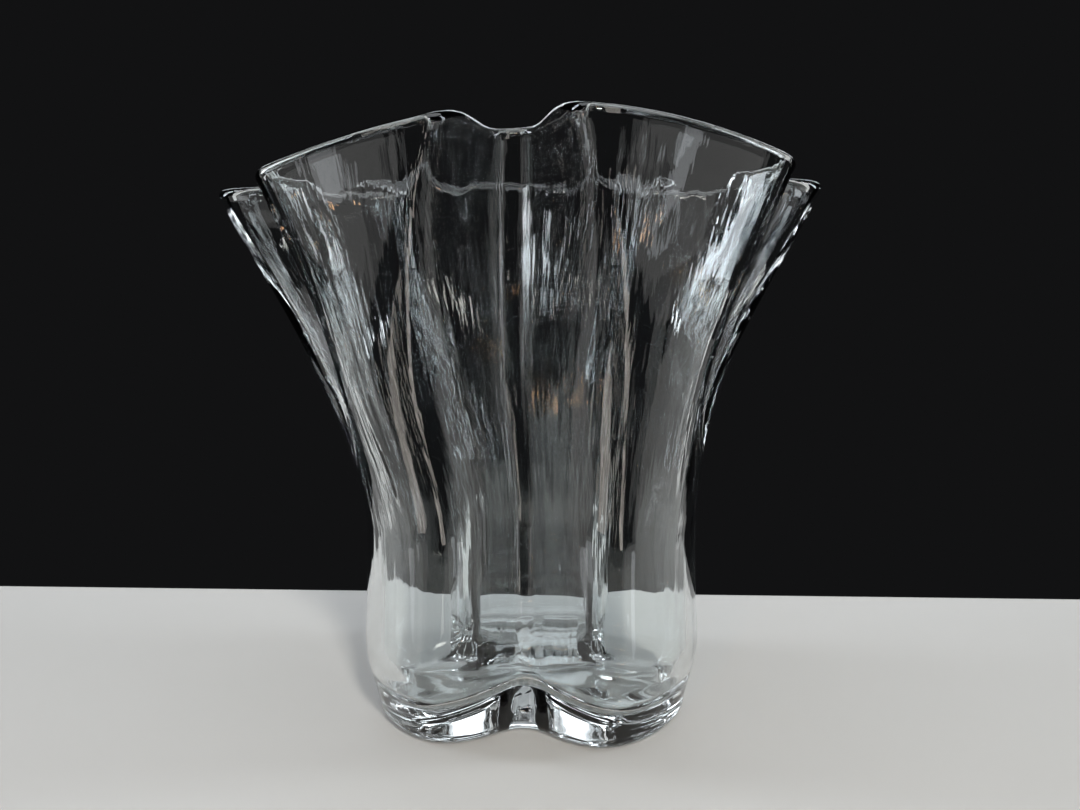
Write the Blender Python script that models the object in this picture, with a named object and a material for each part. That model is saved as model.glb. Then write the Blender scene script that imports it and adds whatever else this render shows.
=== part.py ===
"""Clear glass handkerchief vase: a three-lobed foot that flares into six pleated rim lobes, one piece of glass."""

import math

import bmesh
import bpy

# Heights, in metres above the table
VASE_HEIGHT = 0.2010
RIM_DROP = 0.0285
RIM_DROP_ANGLE = math.radians(63)
RIM_TILT = 0.0062
FRONT_DIP = 0.0065
FRONT_DIP_WIDTH = math.radians(7.2)
FLOOR_THICKNESS = 0.011

# Radii of the lobes at the foot, the body and the rim
FOOT_RADIUS = 0.0535
FOOT_INSET = 0.003
BODY_RADIUS = 0.0592
RIM_RADIUS = 0.0973
LIP_CURL = 0.0006
WAIST_DEPTH = 0.0026
FRONT_INSET = 0.0200
RIM_SHIFT = -0.0030
FLARE_START = 0.345
FLARE_POWER = 1.38

# The three deep folds that run the full height
FOLD_RADIUS_FOOT = 0.030
FOLD_RADIUS_BODY = 0.0265
FRONT_FOLD_RADIUS_RIM = 0.045
BACK_FOLD_RADIUS_RIM = 0.046
FOLD_WIDTH_FOOT = math.radians(24)
FRONT_FOLD_WIDTH_RIM = math.radians(9.5)
BACK_FOLD_WIDTH_RIM = math.radians(13.2)
FOLD_POWER_FOOT = 2.4
FOLD_POWER_RIM = 2.8
FOLD_SPREAD = 0.6
BACK_FOLD_ANGLE = math.radians(120)
FOOT_FOLD_TURN = math.radians(-2)
LOBE_TURN = math.radians(3.5)

# The pleats that split each lobe in two towards the rim
PLEAT_START = 0.36
PLEAT_DEPTH = 0.024
PLEAT_ANGLE = math.radians(71.5)
PLEAT_WIDTH = math.radians(8)
BACK_PLEAT_DEPTH = 0.018
BACK_PLEAT_WIDTH = math.radians(12)
PLEAT_POWER = 2.3

# The glass
WALL_FOOT = 0.0062
WALL_RIM = 0.0044
FOOT_ROUNDING = 0.0065
FLOOR_ROUNDING = 0.0075

# Facets
SIDES = 112
WALL_STEPS = 16
WALL_CROWDING = 0.4
FOOT_STEPS = 3
FLOOR_STEPS = 3
LIP_STEPS = 5


def ease(start, end, value):
    """0 up to start, 1 from end on, with a soft change between them."""
    part = min(max((value - start) / (end - start), 0.0), 1.0)
    return part * part * (3 - 2 * part)


def mix(low, high, part):
    return low + (high - low) * part


def turn_from(angle, centre):
    """The signed angle from centre, the short way round."""
    return (angle - centre + math.pi) % (2 * math.pi) - math.pi


def crease(angle, centre, width, power):
    """1 in the middle of a fold, falling to 0 on both sides of it."""
    return math.exp(-((abs(turn_from(angle, centre)) / width) ** power))


def folds(flare):
    """Each deep fold as its middle angle, width and radius at this much flare."""
    front_width = mix(FOLD_WIDTH_FOOT, FRONT_FOLD_WIDTH_RIM, flare)
    back_width = mix(FOLD_WIDTH_FOOT, BACK_FOLD_WIDTH_RIM, flare)
    yield FOOT_FOLD_TURN * (1 - flare), front_width, FRONT_FOLD_RADIUS_RIM
    yield LOBE_TURN + BACK_FOLD_ANGLE, back_width, BACK_FOLD_RADIUS_RIM
    yield LOBE_TURN - BACK_FOLD_ANGLE, back_width, BACK_FOLD_RADIUS_RIM


def pleat_depth(angle, height):
    """How far the pleats draw the wall in at this angle and part of the height."""
    part = min(max((height - PLEAT_START) / (1 - PLEAT_START), 0.0), 1.0)
    grown = ease(0, 0.72, part)
    width = PLEAT_WIDTH * mix(1.6, 1.0, part)
    left = crease(angle, LOBE_TURN - PLEAT_ANGLE, width, PLEAT_POWER)
    right = crease(angle, LOBE_TURN + PLEAT_ANGLE, width, PLEAT_POWER)
    back = crease(angle, LOBE_TURN + math.pi, BACK_PLEAT_WIDTH, PLEAT_POWER)
    return grown * (PLEAT_DEPTH * (left + right) + BACK_PLEAT_DEPTH * back)


def outer_point(angle, height):
    """A point of the outside; angle is from the front, height is the part of the way from the table to the rim."""
    above = min(max((height - FLARE_START) / (1 - FLARE_START), 0.0), 1.0)
    flare = above ** FLARE_POWER
    facing = max(math.cos(angle), 0.0) ** 2.2
    body = ease(0, 0.14, height)
    lobe = mix(FOOT_RADIUS - FOOT_INSET * facing, BODY_RADIUS, body)
    lobe += (RIM_RADIUS - BODY_RADIUS - FRONT_INSET * facing) * flare
    lobe -= WAIST_DEPTH * math.sin(math.pi * min(height / 0.62, 1.0)) ** 2
    lobe -= LIP_CURL * ease(0.93, 1.0, height)
    power = mix(FOLD_POWER_FOOT, FOLD_POWER_RIM, flare)
    radius = lobe
    turned = angle
    for middle, width, rim_radius in folds(flare):
        depth = crease(angle, middle, width, power)
        inner = mix(FOLD_RADIUS_FOOT, FOLD_RADIUS_BODY, ease(0, 0.12, height))
        inner += (rim_radius - FOLD_RADIUS_BODY) * flare
        radius -= (lobe - inner) * depth
        turned += FOLD_SPREAD * flare * turn_from(angle, middle) * depth
    radius -= pleat_depth(angle, height)
    low = 1 - math.exp(-((abs(turn_from(angle, 0)) / RIM_DROP_ANGLE) ** 2.3))
    drop = RIM_DROP * low - RIM_TILT * math.sin(angle) * ((1 + math.cos(angle)) / 2) ** 2
    drop += FRONT_DIP * crease(angle, 0, FRONT_DIP_WIDTH, 4)
    top = VASE_HEIGHT - WALL_RIM / 2
    return (
        radius * math.sin(turned) + RIM_SHIFT * ease(FLARE_START, 0.65, height),
        -radius * math.cos(turned),
        height * top - drop * flare,
    )


def minus(a, b):
    return tuple(x - y for x, y in zip(a, b))


def moved(point, direction, distance):
    return tuple(x + y * distance for x, y in zip(point, direction))


def unit(vector):
    length = math.sqrt(sum(x * x for x in vector))
    return tuple(x / length for x in vector)


def cross(a, b):
    return (a[1] * b[2] - a[2] * b[1], a[2] * b[0] - a[0] * b[2], a[0] * b[1] - a[1] * b[0])


def outward(angle, height):
    """The direction out of the glass at a point of the outside."""
    step = 1e-4
    low = max(height - step, 0.0)
    along = minus(outer_point(angle + step, height), outer_point(angle - step, height))
    upward = minus(outer_point(angle, low + 2 * step), outer_point(angle, low))
    return unit(cross(along, upward))


def level_outward(angle, height):
    """The same direction without its upward part."""
    x, y, _ = outward(angle, height)
    return unit((x, y, 0.0))


def turning(height, places):
    """For each place, its share of the outline's length and of its turning at this height."""
    ring = [outer_point(place, height) for place in places]
    lengths = []
    headings = []
    for here, there in zip(ring, ring[1:] + ring[:1]):
        lengths.append(math.hypot(there[0] - here[0], there[1] - here[1]))
        headings.append(math.atan2(there[1] - here[1], there[0] - here[0]))
    turns = [abs(turn_from(b, a)) for a, b in zip(headings, headings[1:] + headings[:1])]
    whole = sum(lengths)
    round_it = sum(turns)
    return [length / whole + turn / round_it for length, turn in zip(lengths, turns)]


def side_angles():
    """Angles round the vase, closer together where its outline is longer or bends more."""
    fine = 1440
    places = [(k + 0.5) / fine * 2 * math.pi - math.pi for k in range(fine)]
    shares = [turning(height, places) for height in (0.05, 0.6, 1.0)]
    weights = [sum(three) for three in zip(*shares)]
    total = sum(weights)
    angles = []
    gone = 0.0
    for place, weight in zip(places, weights):
        gone += weight / total * SIDES
        if gone >= len(angles) + 0.5:
            angles.append(place)
    return angles[:SIDES]


def crowded(part):
    """Steps up the wall that start short and end long."""
    return part * (1 - WALL_CROWDING + WALL_CROWDING * part)


def wall_height(part):
    """Part of the height for a step of the outside, from the top of the foot rounding to the rim."""
    return mix(FOOT_ROUNDING / VASE_HEIGHT, 1.0, crowded(part))


def foot_rings(angles):
    """The flat underside, then the rounding up to the wall."""
    start = wall_height(0)
    rings = []
    for inset in (FOOT_ROUNDING + 0.010, FOOT_ROUNDING):
        ring = []
        for angle in angles:
            x, y, _ = moved(outer_point(angle, start), level_outward(angle, start), -FOOT_ROUNDING)
            shrink = 1.0 if inset == FOOT_ROUNDING else 0.45
            ring.append((x * shrink, y * shrink, 0.0))
        rings.append(ring)
    for step in range(1, FOOT_STEPS):
        turn = step / FOOT_STEPS * math.pi / 2
        ring = []
        for angle in angles:
            inset = FOOT_ROUNDING * (1 - math.sin(turn))
            x, y, _ = moved(outer_point(angle, start), level_outward(angle, start), -inset)
            ring.append((x, y, FOOT_ROUNDING * (1 - math.cos(turn))))
        rings.append(ring)
    return rings


def outside_rings(angles):
    rings = []
    for step in range(WALL_STEPS + 1):
        height = wall_height(step / WALL_STEPS)
        rings.append([outer_point(angle, height) for angle in angles])
    return rings


def lip_rings(angles):
    """Half a circle over the top of the wall."""
    rings = []
    radius = WALL_RIM / 2
    for step in range(1, LIP_STEPS + 1):
        turn = step / (LIP_STEPS + 1) * math.pi
        ring = []
        for angle in angles:
            edge = outer_point(angle, 1.0)
            out = outward(angle, 1.0)
            around = minus(outer_point(angle + 1e-4, 1.0), outer_point(angle - 1e-4, 1.0))
            up = unit(cross(out, unit(around)))
            middle = moved(edge, out, -radius)
            point = moved(middle, out, radius * math.cos(turn))
            ring.append(moved(point, up, radius * math.sin(turn)))
        rings.append(ring)
    return rings


def inner_point(angle, height):
    wall = mix(WALL_FOOT, WALL_RIM, height)
    return moved(outer_point(angle, height), outward(angle, height), -wall)


def inside_rings(angles, start):
    rings = []
    for step in range(WALL_STEPS, -1, -1):
        height = mix(start, 1.0, crowded(step / WALL_STEPS))
        rings.append([inner_point(angle, height) for angle in angles])
    return rings


def floor_rings(angles, start):
    """The rounding from the inside of the wall to the floor, then the floor."""
    rings = []
    for step in range(FLOOR_STEPS - 1, -1, -1):
        turn = step / FLOOR_STEPS * math.pi / 2
        ring = []
        for angle in angles:
            inset = FLOOR_ROUNDING * (1 - math.sin(turn))
            x, y, z = moved(inner_point(angle, start), level_outward(angle, start), -inset)
            rise = FLOOR_ROUNDING * (1 - math.cos(turn))
            ring.append((x, y, FLOOR_THICKNESS + rise))
        rings.append(ring)
    rings.append([(x * 0.4, y * 0.4, FLOOR_THICKNESS) for x, y, _ in rings[-1]])
    return rings


def skin(rings):
    """One closed mesh from the rings, with a flat cap inside the first and the last."""
    mesh = bmesh.new()
    loops = [[mesh.verts.new(point) for point in ring] for ring in rings]
    for below, above in zip(loops, loops[1:]):
        for side in range(SIDES):
            after = (side + 1) % SIDES
            mesh.faces.new((below[side], below[after], above[after], above[side]))
    mesh.faces.new(list(reversed(loops[0])))
    mesh.faces.new(loops[-1])
    bmesh.ops.recalc_face_normals(mesh, faces=mesh.faces)
    return mesh


def glass_material():
    material = bpy.data.materials.new("clear_glass")
    material.use_nodes = True
    shader = material.node_tree.nodes["Principled BSDF"]
    shader.inputs["Base Color"].default_value = (0.96, 0.98, 0.98, 1.0)
    shader.inputs["Roughness"].default_value = 0.02
    shader.inputs["IOR"].default_value = 1.5
    shader.inputs["Transmission Weight"].default_value = 1.0
    return material


def build_vase():
    angles = side_angles()
    floor_start = (FLOOR_THICKNESS + FLOOR_ROUNDING) / VASE_HEIGHT
    rings = foot_rings(angles)
    rings += outside_rings(angles)
    rings += lip_rings(angles)
    rings += inside_rings(angles, floor_start)
    rings += floor_rings(angles, floor_start)
    shape = skin(rings)
    data = bpy.data.meshes.new("vase")
    shape.to_mesh(data)
    shape.free()
    for face in data.polygons:
        face.use_smooth = len(face.vertices) == 4
    data.materials.append(glass_material())
    vase = bpy.data.objects.new("vase", data)
    bpy.context.scene.collection.objects.link(vase)
    return vase


for old in list(bpy.data.objects):
    bpy.data.objects.remove(old, do_unlink=True)
build_vase()
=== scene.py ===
import math

import bmesh
import bpy
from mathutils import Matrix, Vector, noise


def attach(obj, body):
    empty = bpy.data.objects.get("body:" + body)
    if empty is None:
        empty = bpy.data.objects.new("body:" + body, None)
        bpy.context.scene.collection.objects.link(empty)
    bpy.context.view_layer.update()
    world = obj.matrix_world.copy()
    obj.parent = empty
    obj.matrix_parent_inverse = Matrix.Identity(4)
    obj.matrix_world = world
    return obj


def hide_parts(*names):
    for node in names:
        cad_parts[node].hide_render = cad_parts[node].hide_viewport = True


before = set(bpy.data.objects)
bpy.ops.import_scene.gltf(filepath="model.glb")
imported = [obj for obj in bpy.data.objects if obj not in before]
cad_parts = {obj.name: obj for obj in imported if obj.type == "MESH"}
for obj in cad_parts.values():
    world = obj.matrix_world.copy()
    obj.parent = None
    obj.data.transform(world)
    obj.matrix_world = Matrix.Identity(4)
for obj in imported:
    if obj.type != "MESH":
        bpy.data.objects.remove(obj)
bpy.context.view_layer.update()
print("frame loaded")

# the vase has the folded form of the CAD part, a hair inside it
# sizes are in metres; a place up the wall, such as flareStart or waistTop, is a share of the height
vase = {
    "height": 0.2009, "rimDrop": 0.0285, "rimDropAngle": math.radians(63), "rimDropPower": 2.3,
    "rimTilt": 0.0062, "frontDip": 0.0065, "frontDipWidth": math.radians(7.2), "frontDipPower": 4,
    "floorThickness": 0.011,
    "footRadius": 0.0534, "footInset": 0.003, "bodyRadius": 0.0591, "bodyFrom": 0.14,
    "rimRadius": 0.0971, "lipCurl": 0.0006, "lipCurlFrom": 0.93,
    "waistDepth": 0.0026, "waistTop": 0.62, "frontInset": 0.0200, "frontPower": 2.2,
    "rimShift": -0.0030, "rimShiftTop": 0.65,
    "flareStart": 0.345, "flarePower": 1.38,
    "foldRadiusFoot": 0.030, "foldRadiusBody": 0.0265, "foldBodyFrom": 0.12,
    "frontFoldRadiusRim": 0.045, "backFoldRadiusRim": 0.046,
    "foldWidthFoot": math.radians(24),
    "frontFoldWidthRim": math.radians(9.5), "backFoldWidthRim": math.radians(13.2),
    "foldPowerFoot": 2.4, "foldPowerRim": 2.8, "foldSpread": 0.6,
    "backFoldAngle": math.radians(120), "footFoldTurn": math.radians(-2),
    "lobeTurn": math.radians(3.5),
    "pleatStart": 0.36, "pleatFull": 0.72, "pleatDepth": 0.024, "pleatAngle": math.radians(71.5),
    "pleatWidth": math.radians(8), "pleatSpread": 1.6, "backPleatDepth": 0.018,
    "backPleatWidth": math.radians(12), "pleatPower": 2.3,
    "wallFoot": 0.0062, "wallRim": 0.0044,
    "footRounding": 0.0042, "floorRounding": 0.0075,
    "sides": 432, "outsideSteps": 84, "insideSteps": 92, "lipSteps": 9,
    "footSteps": 7, "floorSteps": 8, "flatSteps": 11, "poleShare": 0.06,
    "fineSides": 2880, "bendShare": 0.6, "sampleHeights": (0.05, 0.6, 1.0), "probe": 1e-4,
}

# what the skin of the glass does: slow waves, upright chill wrinkles and a rippled floor
# sizes are in metres; a place up the wall is a share of the height
skin = {
    "outsideWave": 0.00022, "outsideWaveSize": 0.030,
    "outsideCalmFoot": 0.06, "outsideCalmLip": 0.94,
    "insideWave": 0.00045, "insideWaveSize": 0.024,
    "insideCalmFloor": 0.05, "insideCalmLip": 0.93,
    "waveStretch": 1.6, "tubeRadius": 0.1, "tubeHeight": 0.2,
    "wrinkle": 0.00042, "wrinkleWidth": 0.0050, "wrinkleLength": 0.036,
    "fineWrinkle": 0.00011, "fineWidth": 0.0024, "fineLength": 0.012,
    "wrinkleLip": 0.96, "wrinkleTop": 0.985, "wrinkleFull": 0.850, "wrinkleLow": 0.56,
    "wrinkleFoot": 0.30, "wrinkleFloor": 0.06, "lean": 0.35, "leanSize": 0.03,
    "bodyShare": 0.14, "outsideShare": 0.45,
    "wrinkleStray": 0.10, "strayWide": 0.014, "strayFine": 0.004, "strayFineShare": 0.4,
    "calmShare": 0.36, "patchSize": 0.030, "patchEdge": 0.30, "frontShare": 0.60,
    "insidePatch": 4.0, "outsidePatch": 9.0,
    "floorRipple": 0.00120, "floorRippleSize": 0.011, "rippleLong": 2.2, "rippleShort": 0.45,
    "rippleFineShare": 0.5, "roundingShare": 0.6,
}


def ease(start, end, value):
    part = min(max((value - start) / (end - start), 0.0), 1.0)
    return part * part * (3 - 2 * part)


def mix(low, high, part):
    return low + (high - low) * part


def turnFrom(angle, centre):
    return (angle - centre + math.pi) % (2 * math.pi) - math.pi


def crease(angle, centre, width, power):
    return math.exp(-((abs(turnFrom(angle, centre)) / width) ** power))


def deepFolds(v, flare):
    frontWidth = mix(v["foldWidthFoot"], v["frontFoldWidthRim"], flare)
    backWidth = mix(v["foldWidthFoot"], v["backFoldWidthRim"], flare)
    yield v["footFoldTurn"] * (1 - flare), frontWidth, v["frontFoldRadiusRim"]
    yield v["lobeTurn"] + v["backFoldAngle"], backWidth, v["backFoldRadiusRim"]
    yield v["lobeTurn"] - v["backFoldAngle"], backWidth, v["backFoldRadiusRim"]


def pleatDepth(v, angle, height):
    part = min(max((height - v["pleatStart"]) / (1 - v["pleatStart"]), 0.0), 1.0)
    width = v["pleatWidth"] * mix(v["pleatSpread"], 1.0, part)
    left = crease(angle, v["lobeTurn"] - v["pleatAngle"], width, v["pleatPower"])
    right = crease(angle, v["lobeTurn"] + v["pleatAngle"], width, v["pleatPower"])
    back = crease(angle, v["lobeTurn"] + math.pi, v["backPleatWidth"], v["pleatPower"])
    depth = v["pleatDepth"] * (left + right) + v["backPleatDepth"] * back
    return ease(0, v["pleatFull"], part) * depth


def outerPoint(v, angle, height):
    above = min(max((height - v["flareStart"]) / (1 - v["flareStart"]), 0.0), 1.0)
    flare = above ** v["flarePower"]
    facing = max(math.cos(angle), 0.0) ** v["frontPower"]
    foot = v["footRadius"] - v["footInset"] * facing
    lobe = mix(foot, v["bodyRadius"], ease(0, v["bodyFrom"], height))
    lobe += (v["rimRadius"] - v["bodyRadius"] - v["frontInset"] * facing) * flare
    lobe -= v["waistDepth"] * math.sin(math.pi * min(height / v["waistTop"], 1.0)) ** 2
    lobe -= v["lipCurl"] * ease(v["lipCurlFrom"], 1.0, height)
    power = mix(v["foldPowerFoot"], v["foldPowerRim"], flare)
    radius, turned = lobe, angle
    for middle, width, rimRadius in deepFolds(v, flare):
        depth = crease(angle, middle, width, power)
        inner = mix(v["foldRadiusFoot"], v["foldRadiusBody"], ease(0, v["foldBodyFrom"], height))
        inner += (rimRadius - v["foldRadiusBody"]) * flare
        radius -= (lobe - inner) * depth
        turned += v["foldSpread"] * flare * turnFrom(angle, middle) * depth
    radius -= pleatDepth(v, angle, height)
    drop = v["rimDrop"] * (1 - crease(angle, 0, v["rimDropAngle"], v["rimDropPower"]))
    drop -= v["rimTilt"] * math.sin(angle) * ((1 + math.cos(angle)) / 2) ** 2
    drop += v["frontDip"] * crease(angle, 0, v["frontDipWidth"], v["frontDipPower"])
    x = radius * math.sin(turned) + v["rimShift"] * ease(v["flareStart"], v["rimShiftTop"], height)
    top = v["height"] - v["wallRim"] / 2
    return Vector((x, -radius * math.cos(turned), height * top - drop * flare))


def outward(v, angle, height):
    step = v["probe"]
    low = max(height - step, 0.0)
    along = outerPoint(v, angle + step, height) - outerPoint(v, angle - step, height)
    upward = outerPoint(v, angle, low + 2 * step) - outerPoint(v, angle, low)
    return along.cross(upward).normalized()


def levelled(direction):
    return Vector((direction.x, direction.y, 0.0)).normalized()


def sideAngles(v):
    # closer together where the wall is longer or bends more
    fine = v["fineSides"]
    places = [(k + 0.5) / fine * 2 * math.pi - math.pi for k in range(fine)]
    weights = [0.0] * fine
    for height in v["sampleHeights"]:
        ring = [outerPoint(v, place, height).xy for place in places]
        runs = [ring[(k + 1) % fine] - ring[k] for k in range(fine)]
        headings = [math.atan2(run.y, run.x) for run in runs]
        bends = [abs(turnFrom(headings[(k + 1) % fine], headings[k])) for k in range(fine)]
        length, bend = sum(run.length for run in runs), sum(bends)
        for k in range(fine):
            weights[k] += runs[k].length / length + v["bendShare"] * bends[k] / bend
    total, gone, angles = sum(weights), 0.0, []
    for place, weight in zip(places, weights):
        gone += weight / total * v["sides"]
        if gone >= len(angles) + 0.5:
            angles.append(place)
    return angles[:v["sides"]]


def unrolled(s, turn, height):
    # a place on the wall as if it were a straight tube, so that streaks follow the flare
    radius = s["tubeRadius"]
    return Vector((radius * math.cos(turn), radius * math.sin(turn), height * s["tubeHeight"]))


def patchAt(s, turn, height, side):
    # the chill marks lie in patches, strongest at the back; side picks each skin's own noise
    x, y, z = unrolled(s, turn, height)
    size = s["patchSize"]
    spot = noise.noise(Vector((x / size, y / size, z / (2 * size) + side)))
    patch = ease(-s["patchEdge"], s["patchEdge"], spot)
    return mix(s["calmShare"], 1.0, patch) * mix(1.0, s["frontShare"], max(math.cos(turn), 0.0))


def chillAt(s, turn, height):
    # the mould's chill marks fade under the fire-polished band and towards the foot
    x, y, _ = unrolled(s, turn, height)
    wide, fine = s["strayWide"], s["strayFine"]
    fineStray = s["strayFineShare"] * s["wrinkleStray"]
    stray = s["wrinkleStray"] * noise.noise(Vector((x / wide, y / wide, 3.0)))
    stray += fineStray * noise.noise(Vector((x / fine, y / fine, 8.0)))
    body = mix(s["bodyShare"], 1.0, ease(s["wrinkleFoot"], s["wrinkleLow"], height + stray))
    top = ease(s["wrinkleTop"] + stray, s["wrinkleFull"] + stray, height)
    patch = patchAt(s, turn, height, s["insidePatch"])
    return patch * body * (top * ease(1.0, s["wrinkleLip"], height))


def wrinkleAt(s, turn, height):
    # upright chill wrinkles
    band = chillAt(s, turn, height)
    x, y, z = unrolled(s, turn, height)
    size, width, fineWidth = s["leanSize"], s["wrinkleWidth"], s["fineWidth"]
    lean = s["lean"] * noise.noise(Vector((x / size, y / size, z / size)))
    big = noise.noise(Vector((x / width + lean, y / width - lean, z / s["wrinkleLength"])))
    fine = noise.noise(Vector((x / fineWidth + 7, y / fineWidth + lean, z / s["fineLength"])))
    return band * (s["wrinkle"] * big + s["fineWrinkle"] * fine)


def waveAt(size, stretch, point, shift):
    return noise.noise(Vector((point.x / size + shift, point.y / size, point.z / (size * stretch))))


def grow(mesh, edges, around, place):
    # one more ring: the edge loop is extruded and each new vertex put in its place
    made = bmesh.ops.extrude_edge_only(mesh, edges=edges)["geom"]
    for vert in made:
        if isinstance(vert, bmesh.types.BMVert):
            vert.co = place(round(vert[around]))
    return [edge for edge in made if isinstance(edge, bmesh.types.BMEdge)
            and all(len(v.link_edges) < 4 for v in edge.verts)]


def blowVase(v, s):
    angles = sideAngles(v)
    turns = [2 * math.pi * k / v["sides"] for k in range(v["sides"])]
    mesh = bmesh.new()
    around = mesh.verts.layers.float.new("around")
    chill = mesh.verts.layers.float.new("chill")
    laidOut = mesh.verts.layers.float_vector.new("along")
    circle = bmesh.ops.create_circle(mesh, segments=v["sides"], radius=0.01)["verts"]
    start = v["footRounding"] / v["height"]
    foot = []
    for angle in angles:
        foot.append((outerPoint(v, angle, start), levelled(outward(v, angle, start))))

    def footAt(k, inset, z, shrink=1.0):
        point, out = foot[k]
        place = (point - out * inset) * shrink
        return Vector((place.x, place.y, z))

    # flat underside, from its middle out to the rounding
    for k, vert in enumerate(circle):
        vert[around] = k
        vert.co = footAt(k, v["footRounding"], 0.0, v["poleShare"])
    edges = list(mesh.edges)
    for step in range(1, v["flatSteps"] + 1):
        shrink = mix(v["poleShare"], 1.0, step / v["flatSteps"])
        edges = grow(mesh, edges, around, lambda k: footAt(k, v["footRounding"], 0.0, shrink))
    for step in range(1, v["footSteps"]):
        turn = step / v["footSteps"] * math.pi / 2
        inset = v["footRounding"] * (1 - math.sin(turn))
        rise = v["footRounding"] * (1 - math.cos(turn))
        edges = grow(mesh, edges, around, lambda k: footAt(k, inset, rise))

    # outside of the wall, up to the lip; its waves only go inwards, so it stays within the CAD
    def outsideAt(k, height):
        point, out = outerPoint(v, angles[k], height), outward(v, angles[k], height)
        calm = ease(start, start + s["outsideCalmFoot"], height)
        calm *= ease(1.0, s["outsideCalmLip"], height)
        wave = 0.5 + 0.5 * waveAt(s["outsideWaveSize"], s["waveStretch"], point, 3.0)
        return point - out * s["outsideWave"] * wave * calm

    for step in range(v["outsideSteps"] + 1):
        height = mix(start, 1.0, step / v["outsideSteps"])
        edges = grow(mesh, edges, around, lambda k: outsideAt(k, height))
        for vert in {vert for edge in edges for vert in edge.verts}:
            turn = turns[round(vert[around])]
            share = mix(s["bodyShare"], 1.0, ease(s["wrinkleFoot"], s["wrinkleLow"], height))
            share *= s["outsideShare"] * patchAt(s, turn, height, s["outsidePatch"])
            vert[chill], vert[laidOut] = share, unrolled(s, turn, height)

    # fire-polished lip
    rim = []
    for angle in angles:
        edge, out = outerPoint(v, angle, 1.0), outward(v, angle, 1.0)
        along = outerPoint(v, angle + v["probe"], 1.0) - outerPoint(v, angle - v["probe"], 1.0)
        rim.append((edge, out, out.cross(along.normalized()).normalized()))

    def lipAt(k, turn):
        edge, out, up = rim[k]
        radius = v["wallRim"] / 2
        return edge + out * radius * (math.cos(turn) - 1) + up * radius * math.sin(turn)

    for step in range(1, v["lipSteps"] + 1):
        turn = step / (v["lipSteps"] + 1) * math.pi
        edges = grow(mesh, edges, around, lambda k: lipAt(k, turn))

    # inside of the wall, down to the floor
    floorStart = (v["floorThickness"] + v["floorRounding"]) / v["height"]

    def insideAt(k, height):
        point, out = outerPoint(v, angles[k], height), outward(v, angles[k], height)
        wall = mix(v["wallFoot"], v["wallRim"], height)
        calm = ease(1.0, s["insideCalmLip"], height)
        calm *= ease(floorStart, floorStart + s["insideCalmFloor"], height)
        wave = s["insideWave"] * waveAt(s["insideWaveSize"], s["waveStretch"], point, 9.0) * calm
        low = ease(floorStart, floorStart + s["wrinkleFloor"], height)
        return point - out * (wall + wave + wrinkleAt(s, turns[k], height) * low)

    for step in range(v["insideSteps"] + 1):
        height = mix(1.0, floorStart, step / v["insideSteps"])
        edges = grow(mesh, edges, around, lambda k: insideAt(k, height))
        for vert in {vert for edge in edges for vert in edge.verts}:
            turn = turns[round(vert[around])]
            vert[chill], vert[laidOut] = chillAt(s, turn, height), unrolled(s, turn, height)

    # rounding and floor, with the slow ripples that the glass keeps there
    well = []
    for k, angle in enumerate(angles):
        out = levelled(outward(v, angle, floorStart))
        well.append((insideAt(k, floorStart), out))

    def floorAt(k, inset, z, shrink, ripple):
        point, out = well[k]
        place = (point - out * inset) * shrink
        size = s["floorRippleSize"]
        long, short = size * s["rippleLong"], size * s["rippleShort"]
        swell = noise.noise(Vector((place.x / long, place.y / size, 1.7)))
        swell += s["rippleFineShare"] * noise.noise(Vector((place.x / size, place.y / short, 5.2)))
        return Vector((place.x, place.y, z + s["floorRipple"] * swell * ripple))

    for step in range(v["floorSteps"] - 1, -1, -1):
        turn = step / v["floorSteps"] * math.pi / 2
        inset = v["floorRounding"] * (1 - math.sin(turn))
        rise = v["floorThickness"] + v["floorRounding"] * (1 - math.cos(turn))
        ripple = s["roundingShare"] * (1 - step / v["floorSteps"])
        edges = grow(mesh, edges, around, lambda k: floorAt(k, inset, rise, 1.0, ripple))
    for step in range(v["flatSteps"] - 1, -1, -1):
        shrink = mix(v["poleShare"], 1.0, step / v["flatSteps"])
        inset, rise = v["floorRounding"], v["floorThickness"]
        edges = grow(mesh, edges, around, lambda k: floorAt(k, inset, rise, shrink, 1.0))

    # the last ring and the first are closed to a point
    for ring in (circle, list({vert for edge in edges for vert in edge.verts})):
        middle = sum((vert.co for vert in ring), Vector()) / len(ring)
        bmesh.ops.pointmerge(mesh, verts=ring, merge_co=middle)
    bmesh.ops.recalc_face_normals(mesh, faces=mesh.faces)
    for face in mesh.faces:
        face.smooth = True
    data = bpy.data.meshes.new("vase_glass")
    mesh.to_mesh(data)
    mesh.free()
    data.attributes.remove(data.attributes["around"])
    glass = bpy.data.objects.new("vase_glass", data)
    bpy.context.collection.objects.link(glass)
    return glass


glassLook = {
    "colour": (0.975, 0.99, 0.99, 1.0), "thickTint": (0.93, 0.975, 0.975, 1.0), "tintScale": 9.0,
    "roughness": 0.008, "ior": 1.52,
    "rippleScale": 420.0, "rippleStretch": (1.0, 1.0, 0.10), "rippleHeight": 0.00032,
    "swellScale": 52.0, "swellStretch": (1.0, 1.0, 0.35), "swellHeight": 0.0010, "swellShare": 0.42,
}


def addNode(tree, kind, x, y, **values):
    node = tree.nodes.new(kind)
    node.location = (x, y)
    for name, value in values.items():
        if hasattr(node, name):
            setattr(node, name, value)
        else:
            node.inputs[name].default_value = value
    return node


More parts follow.
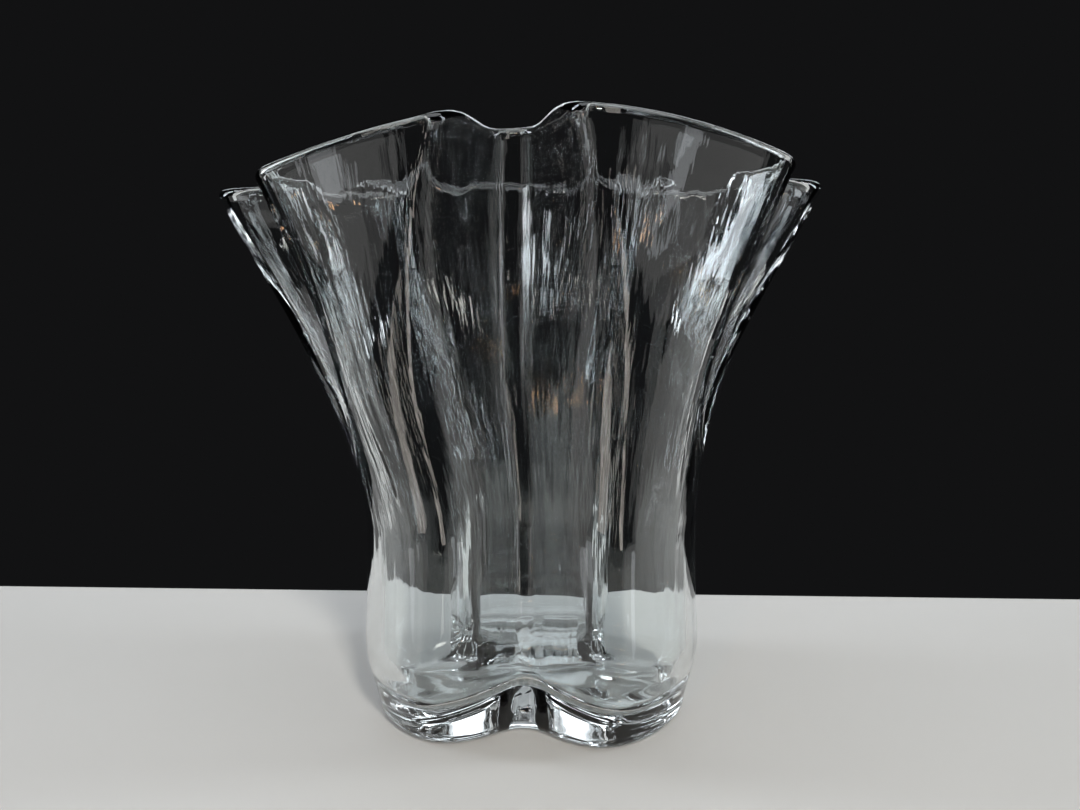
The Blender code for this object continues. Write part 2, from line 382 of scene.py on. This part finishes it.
def clearGlass(look):
    material = bpy.data.materials.new("fire polished clear glass")
    material.use_nodes = True
    tree = material.node_tree
    shader = tree.nodes["Principled BSDF"]
    shader.inputs["Roughness"].default_value = look["roughness"]
    shader.inputs["IOR"].default_value = look["ior"]
    shader.inputs["Transmission Weight"].default_value = 1.0
    coords = addNode(tree, "ShaderNodeTexCoord", -1300, 0)
    along = addNode(tree, "ShaderNodeAttribute", -1300, -300, attribute_name="along")
    stretch = addNode(tree, "ShaderNodeMapping", -1100, -120)
    stretch.inputs["Scale"].default_value = look["rippleStretch"]
    upright = addNode(tree, "ShaderNodeMapping", -1100, -420)
    upright.inputs["Scale"].default_value = look["swellStretch"]
    ripple = addNode(tree, "ShaderNodeTexNoise", -880, -120, Scale=look["rippleScale"],
                     Detail=2.0, Roughness=0.45)
    swell = addNode(tree, "ShaderNodeTexNoise", -880, -360, Scale=look["swellScale"],
                    Detail=1.0, Roughness=0.45)
    chill = addNode(tree, "ShaderNodeAttribute", -880, -560, attribute_name="chill")
    fade = addNode(tree, "ShaderNodeMath", -660, -220, operation="MULTIPLY")
    fine = addNode(tree, "ShaderNodeBump", -430, -220, Distance=look["rippleHeight"], Strength=1.0)
    broad = addNode(tree, "ShaderNodeBump", -220, -320, Distance=look["swellHeight"],
                    Strength=look["swellShare"])
    tint = addNode(tree, "ShaderNodeTexNoise", -880, 200, Scale=look["tintScale"], Detail=1.0)
    colour = addNode(tree, "ShaderNodeMix", -430, 160, data_type="RGBA")
    colour.inputs[6].default_value = look["colour"]
    colour.inputs[7].default_value = look["thickTint"]
    tree.links.new(along.outputs["Vector"], stretch.inputs["Vector"])
    tree.links.new(stretch.outputs["Vector"], ripple.inputs["Vector"])
    tree.links.new(coords.outputs["Object"], upright.inputs["Vector"])
    tree.links.new(upright.outputs["Vector"], swell.inputs["Vector"])
    tree.links.new(coords.outputs["Object"], tint.inputs["Vector"])
    tree.links.new(tint.outputs["Fac"], colour.inputs["Factor"])
    tree.links.new(colour.outputs["Result"], shader.inputs["Base Color"])
    tree.links.new(ripple.outputs["Fac"], fade.inputs[0])
    tree.links.new(chill.outputs["Fac"], fade.inputs[1])
    tree.links.new(fade.outputs["Value"], fine.inputs["Height"])
    tree.links.new(swell.outputs["Fac"], broad.inputs["Height"])
    tree.links.new(fine.outputs["Normal"], broad.inputs["Normal"])
    tree.links.new(broad.outputs["Normal"], shader.inputs["Normal"])
    return material


glass = blowVase(vase, skin)
glass.data.materials.append(clearGlass(glassLook))
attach(glass, "root")
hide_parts("vase")
print("vase blown:", len(glass.data.polygons), "faces")

# a pale table that ends a little behind the vase, soft boxes and a dim room
# the gap under the foot lets the thick floor shine: with the faces in one plane it turns black
stage = {
    "tableColour": (0.45, 0.45, 0.44, 1.0), "tableRoughness": 0.6,
    "cloudShade": 0.94, "cloudScale": 6.0,
    "tableWidth": 0.6, "tableBack": 0.104, "tableFront": -0.125, "tableThickness": 0.03,
    "tableEdge": 0.003, "gap": 0.0004, "roomColour": (0.006, 0.0061, 0.0065, 1.0),
}


def layTable(s):
    mesh = bmesh.new()
    bmesh.ops.create_cube(mesh, size=1.0)
    depth = s["tableBack"] - s["tableFront"]
    bmesh.ops.scale(mesh, verts=mesh.verts, vec=(s["tableWidth"], depth, s["tableThickness"]))
    bmesh.ops.translate(mesh, verts=mesh.verts,
                        vec=(0, s["tableBack"] - depth / 2, -s["tableThickness"] / 2 - s["gap"]))
    bmesh.ops.bevel(mesh, geom=mesh.edges[:], offset=s["tableEdge"], segments=3, profile=0.5,
                    affect="EDGES", material=-1)
    data = bpy.data.meshes.new("table")
    mesh.to_mesh(data)
    mesh.free()
    material = bpy.data.materials.new("pale table")
    material.use_nodes = True
    tree = material.node_tree
    shader = tree.nodes["Principled BSDF"]
    shader.inputs["Roughness"].default_value = s["tableRoughness"]
    coords = addNode(tree, "ShaderNodeTexCoord", -900, 0)
    cloud = addNode(tree, "ShaderNodeTexNoise", -700, 0, Scale=s["cloudScale"], Detail=3.0)
    colour = addNode(tree, "ShaderNodeMix", -450, 0, data_type="RGBA")
    colour.inputs[6].default_value = s["tableColour"]
    shade = [s["cloudShade"] * part for part in s["tableColour"][:3]]
    colour.inputs[7].default_value = (*shade, 1.0)
    tree.links.new(coords.outputs["Object"], cloud.inputs["Vector"])
    tree.links.new(cloud.outputs["Fac"], colour.inputs["Factor"])
    tree.links.new(colour.outputs["Result"], shader.inputs["Base Color"])
    data.materials.append(material)
    table = bpy.data.objects.new("table", data)
    bpy.context.collection.objects.link(table)
    return table


def softBox(name, place, target, size, power, colour):
    light = bpy.data.lights.new(name, "AREA")
    light.shape = "RECTANGLE"
    light.size, light.size_y = size
    light.energy = power
    light.color = colour
    box = bpy.data.objects.new(name, light)
    box.location = place
    box.rotation_euler = (Vector(target) - Vector(place)).to_track_quat("-Z", "Y").to_euler()
    box.visible_camera = False
    bpy.context.collection.objects.link(box)


def darkRoom(colour):
    world = bpy.data.worlds.new("room")
    world.use_nodes = True
    world.node_tree.nodes["Background"].inputs["Color"].default_value = colour
    world.node_tree.nodes["Background"].inputs["Strength"].default_value = 1.0
    bpy.context.scene.world = world


layTable(stage)
# each light's name, place, size, power and colour; all face the middle of the vase
middle = (0.0, 0.0, 0.1)
lights = [
    ("left box", (-1.0, 0.15, 0.55), (0.20, 1.1), 6.6, (0.87, 0.93, 1.0)),
    ("right box", (1.0, 0.1, 0.5), (0.17, 1.0), 5.0, (0.90, 0.95, 1.0)),
    ("top box", (0.0, 0.0, 1.15), (1.5, 0.9), 9.5, (0.92, 0.96, 1.0)),
    ("back box", (0.0, 1.5, 0.60), (1.7, 0.40), 4.5, (0.90, 0.95, 1.0)),
    ("window", (0.30, -1.1, 0.95), (0.14, 0.26), 16.0, (1.0, 0.95, 0.88)),
    ("low left", (-0.22, -0.42, -0.30), (0.16, 0.20), 0.25, (1.0, 0.92, 0.84)),
    ("low right", (0.18, -0.50, -0.30), (0.07, 0.30), 0.22, (1.0, 0.92, 0.84)),
    ("far left", (-0.80, -0.52, -0.15), (1.05, 0.44), 0.80, (0.98, 0.97, 0.95)),
    ("near left", (-0.74, -0.50, -0.13), (0.22, 0.26), 0.30, (0.93, 0.96, 1.0)),
    ("far right", (0.80, -0.54, -0.14), (0.98, 0.44), 0.75, (0.98, 0.97, 0.95)),
    ("near right", (0.66, -0.62, -0.12), (0.12, 0.30), 0.24, (0.90, 0.95, 1.0)),
    ("lamp", (-0.25, -1.0, 0.5), (0.10, 0.10), 1.2, (1.0, 0.55, 0.28)),
]
for name, place, size, power, colour in lights:
    softBox(name, place, middle, size, power, colour)
darkRoom(stage["roomColour"])
print("stage laid")

# the camera stands where the photograph was taken from
camera = {
    "place": (0.01787, -0.4256, 0.197), "tilt": 77.67, "turn": 2.0, "angle": 44.97,
    "clipStart": 0.01, "bounces": 24, "clearBounces": 16,
}
eye = bpy.data.cameras.new("camera")
eye.lens_unit = "FOV"
eye.angle = math.radians(camera["angle"])
eye.clip_start = camera["clipStart"]
viewer = bpy.data.objects.new("camera", eye)
viewer.location = camera["place"]
viewer.rotation_euler = (math.radians(camera["tilt"]), 0.0, math.radians(camera["turn"]))
bpy.context.collection.objects.link(viewer)
scene = bpy.context.scene
scene.camera = viewer
scene.cycles.max_bounces = camera["bounces"]
scene.cycles.transmission_bounces = camera["bounces"]
scene.cycles.transparent_max_bounces = camera["clearBounces"]
scene.view_settings.view_transform = "Standard"
print("camera set")
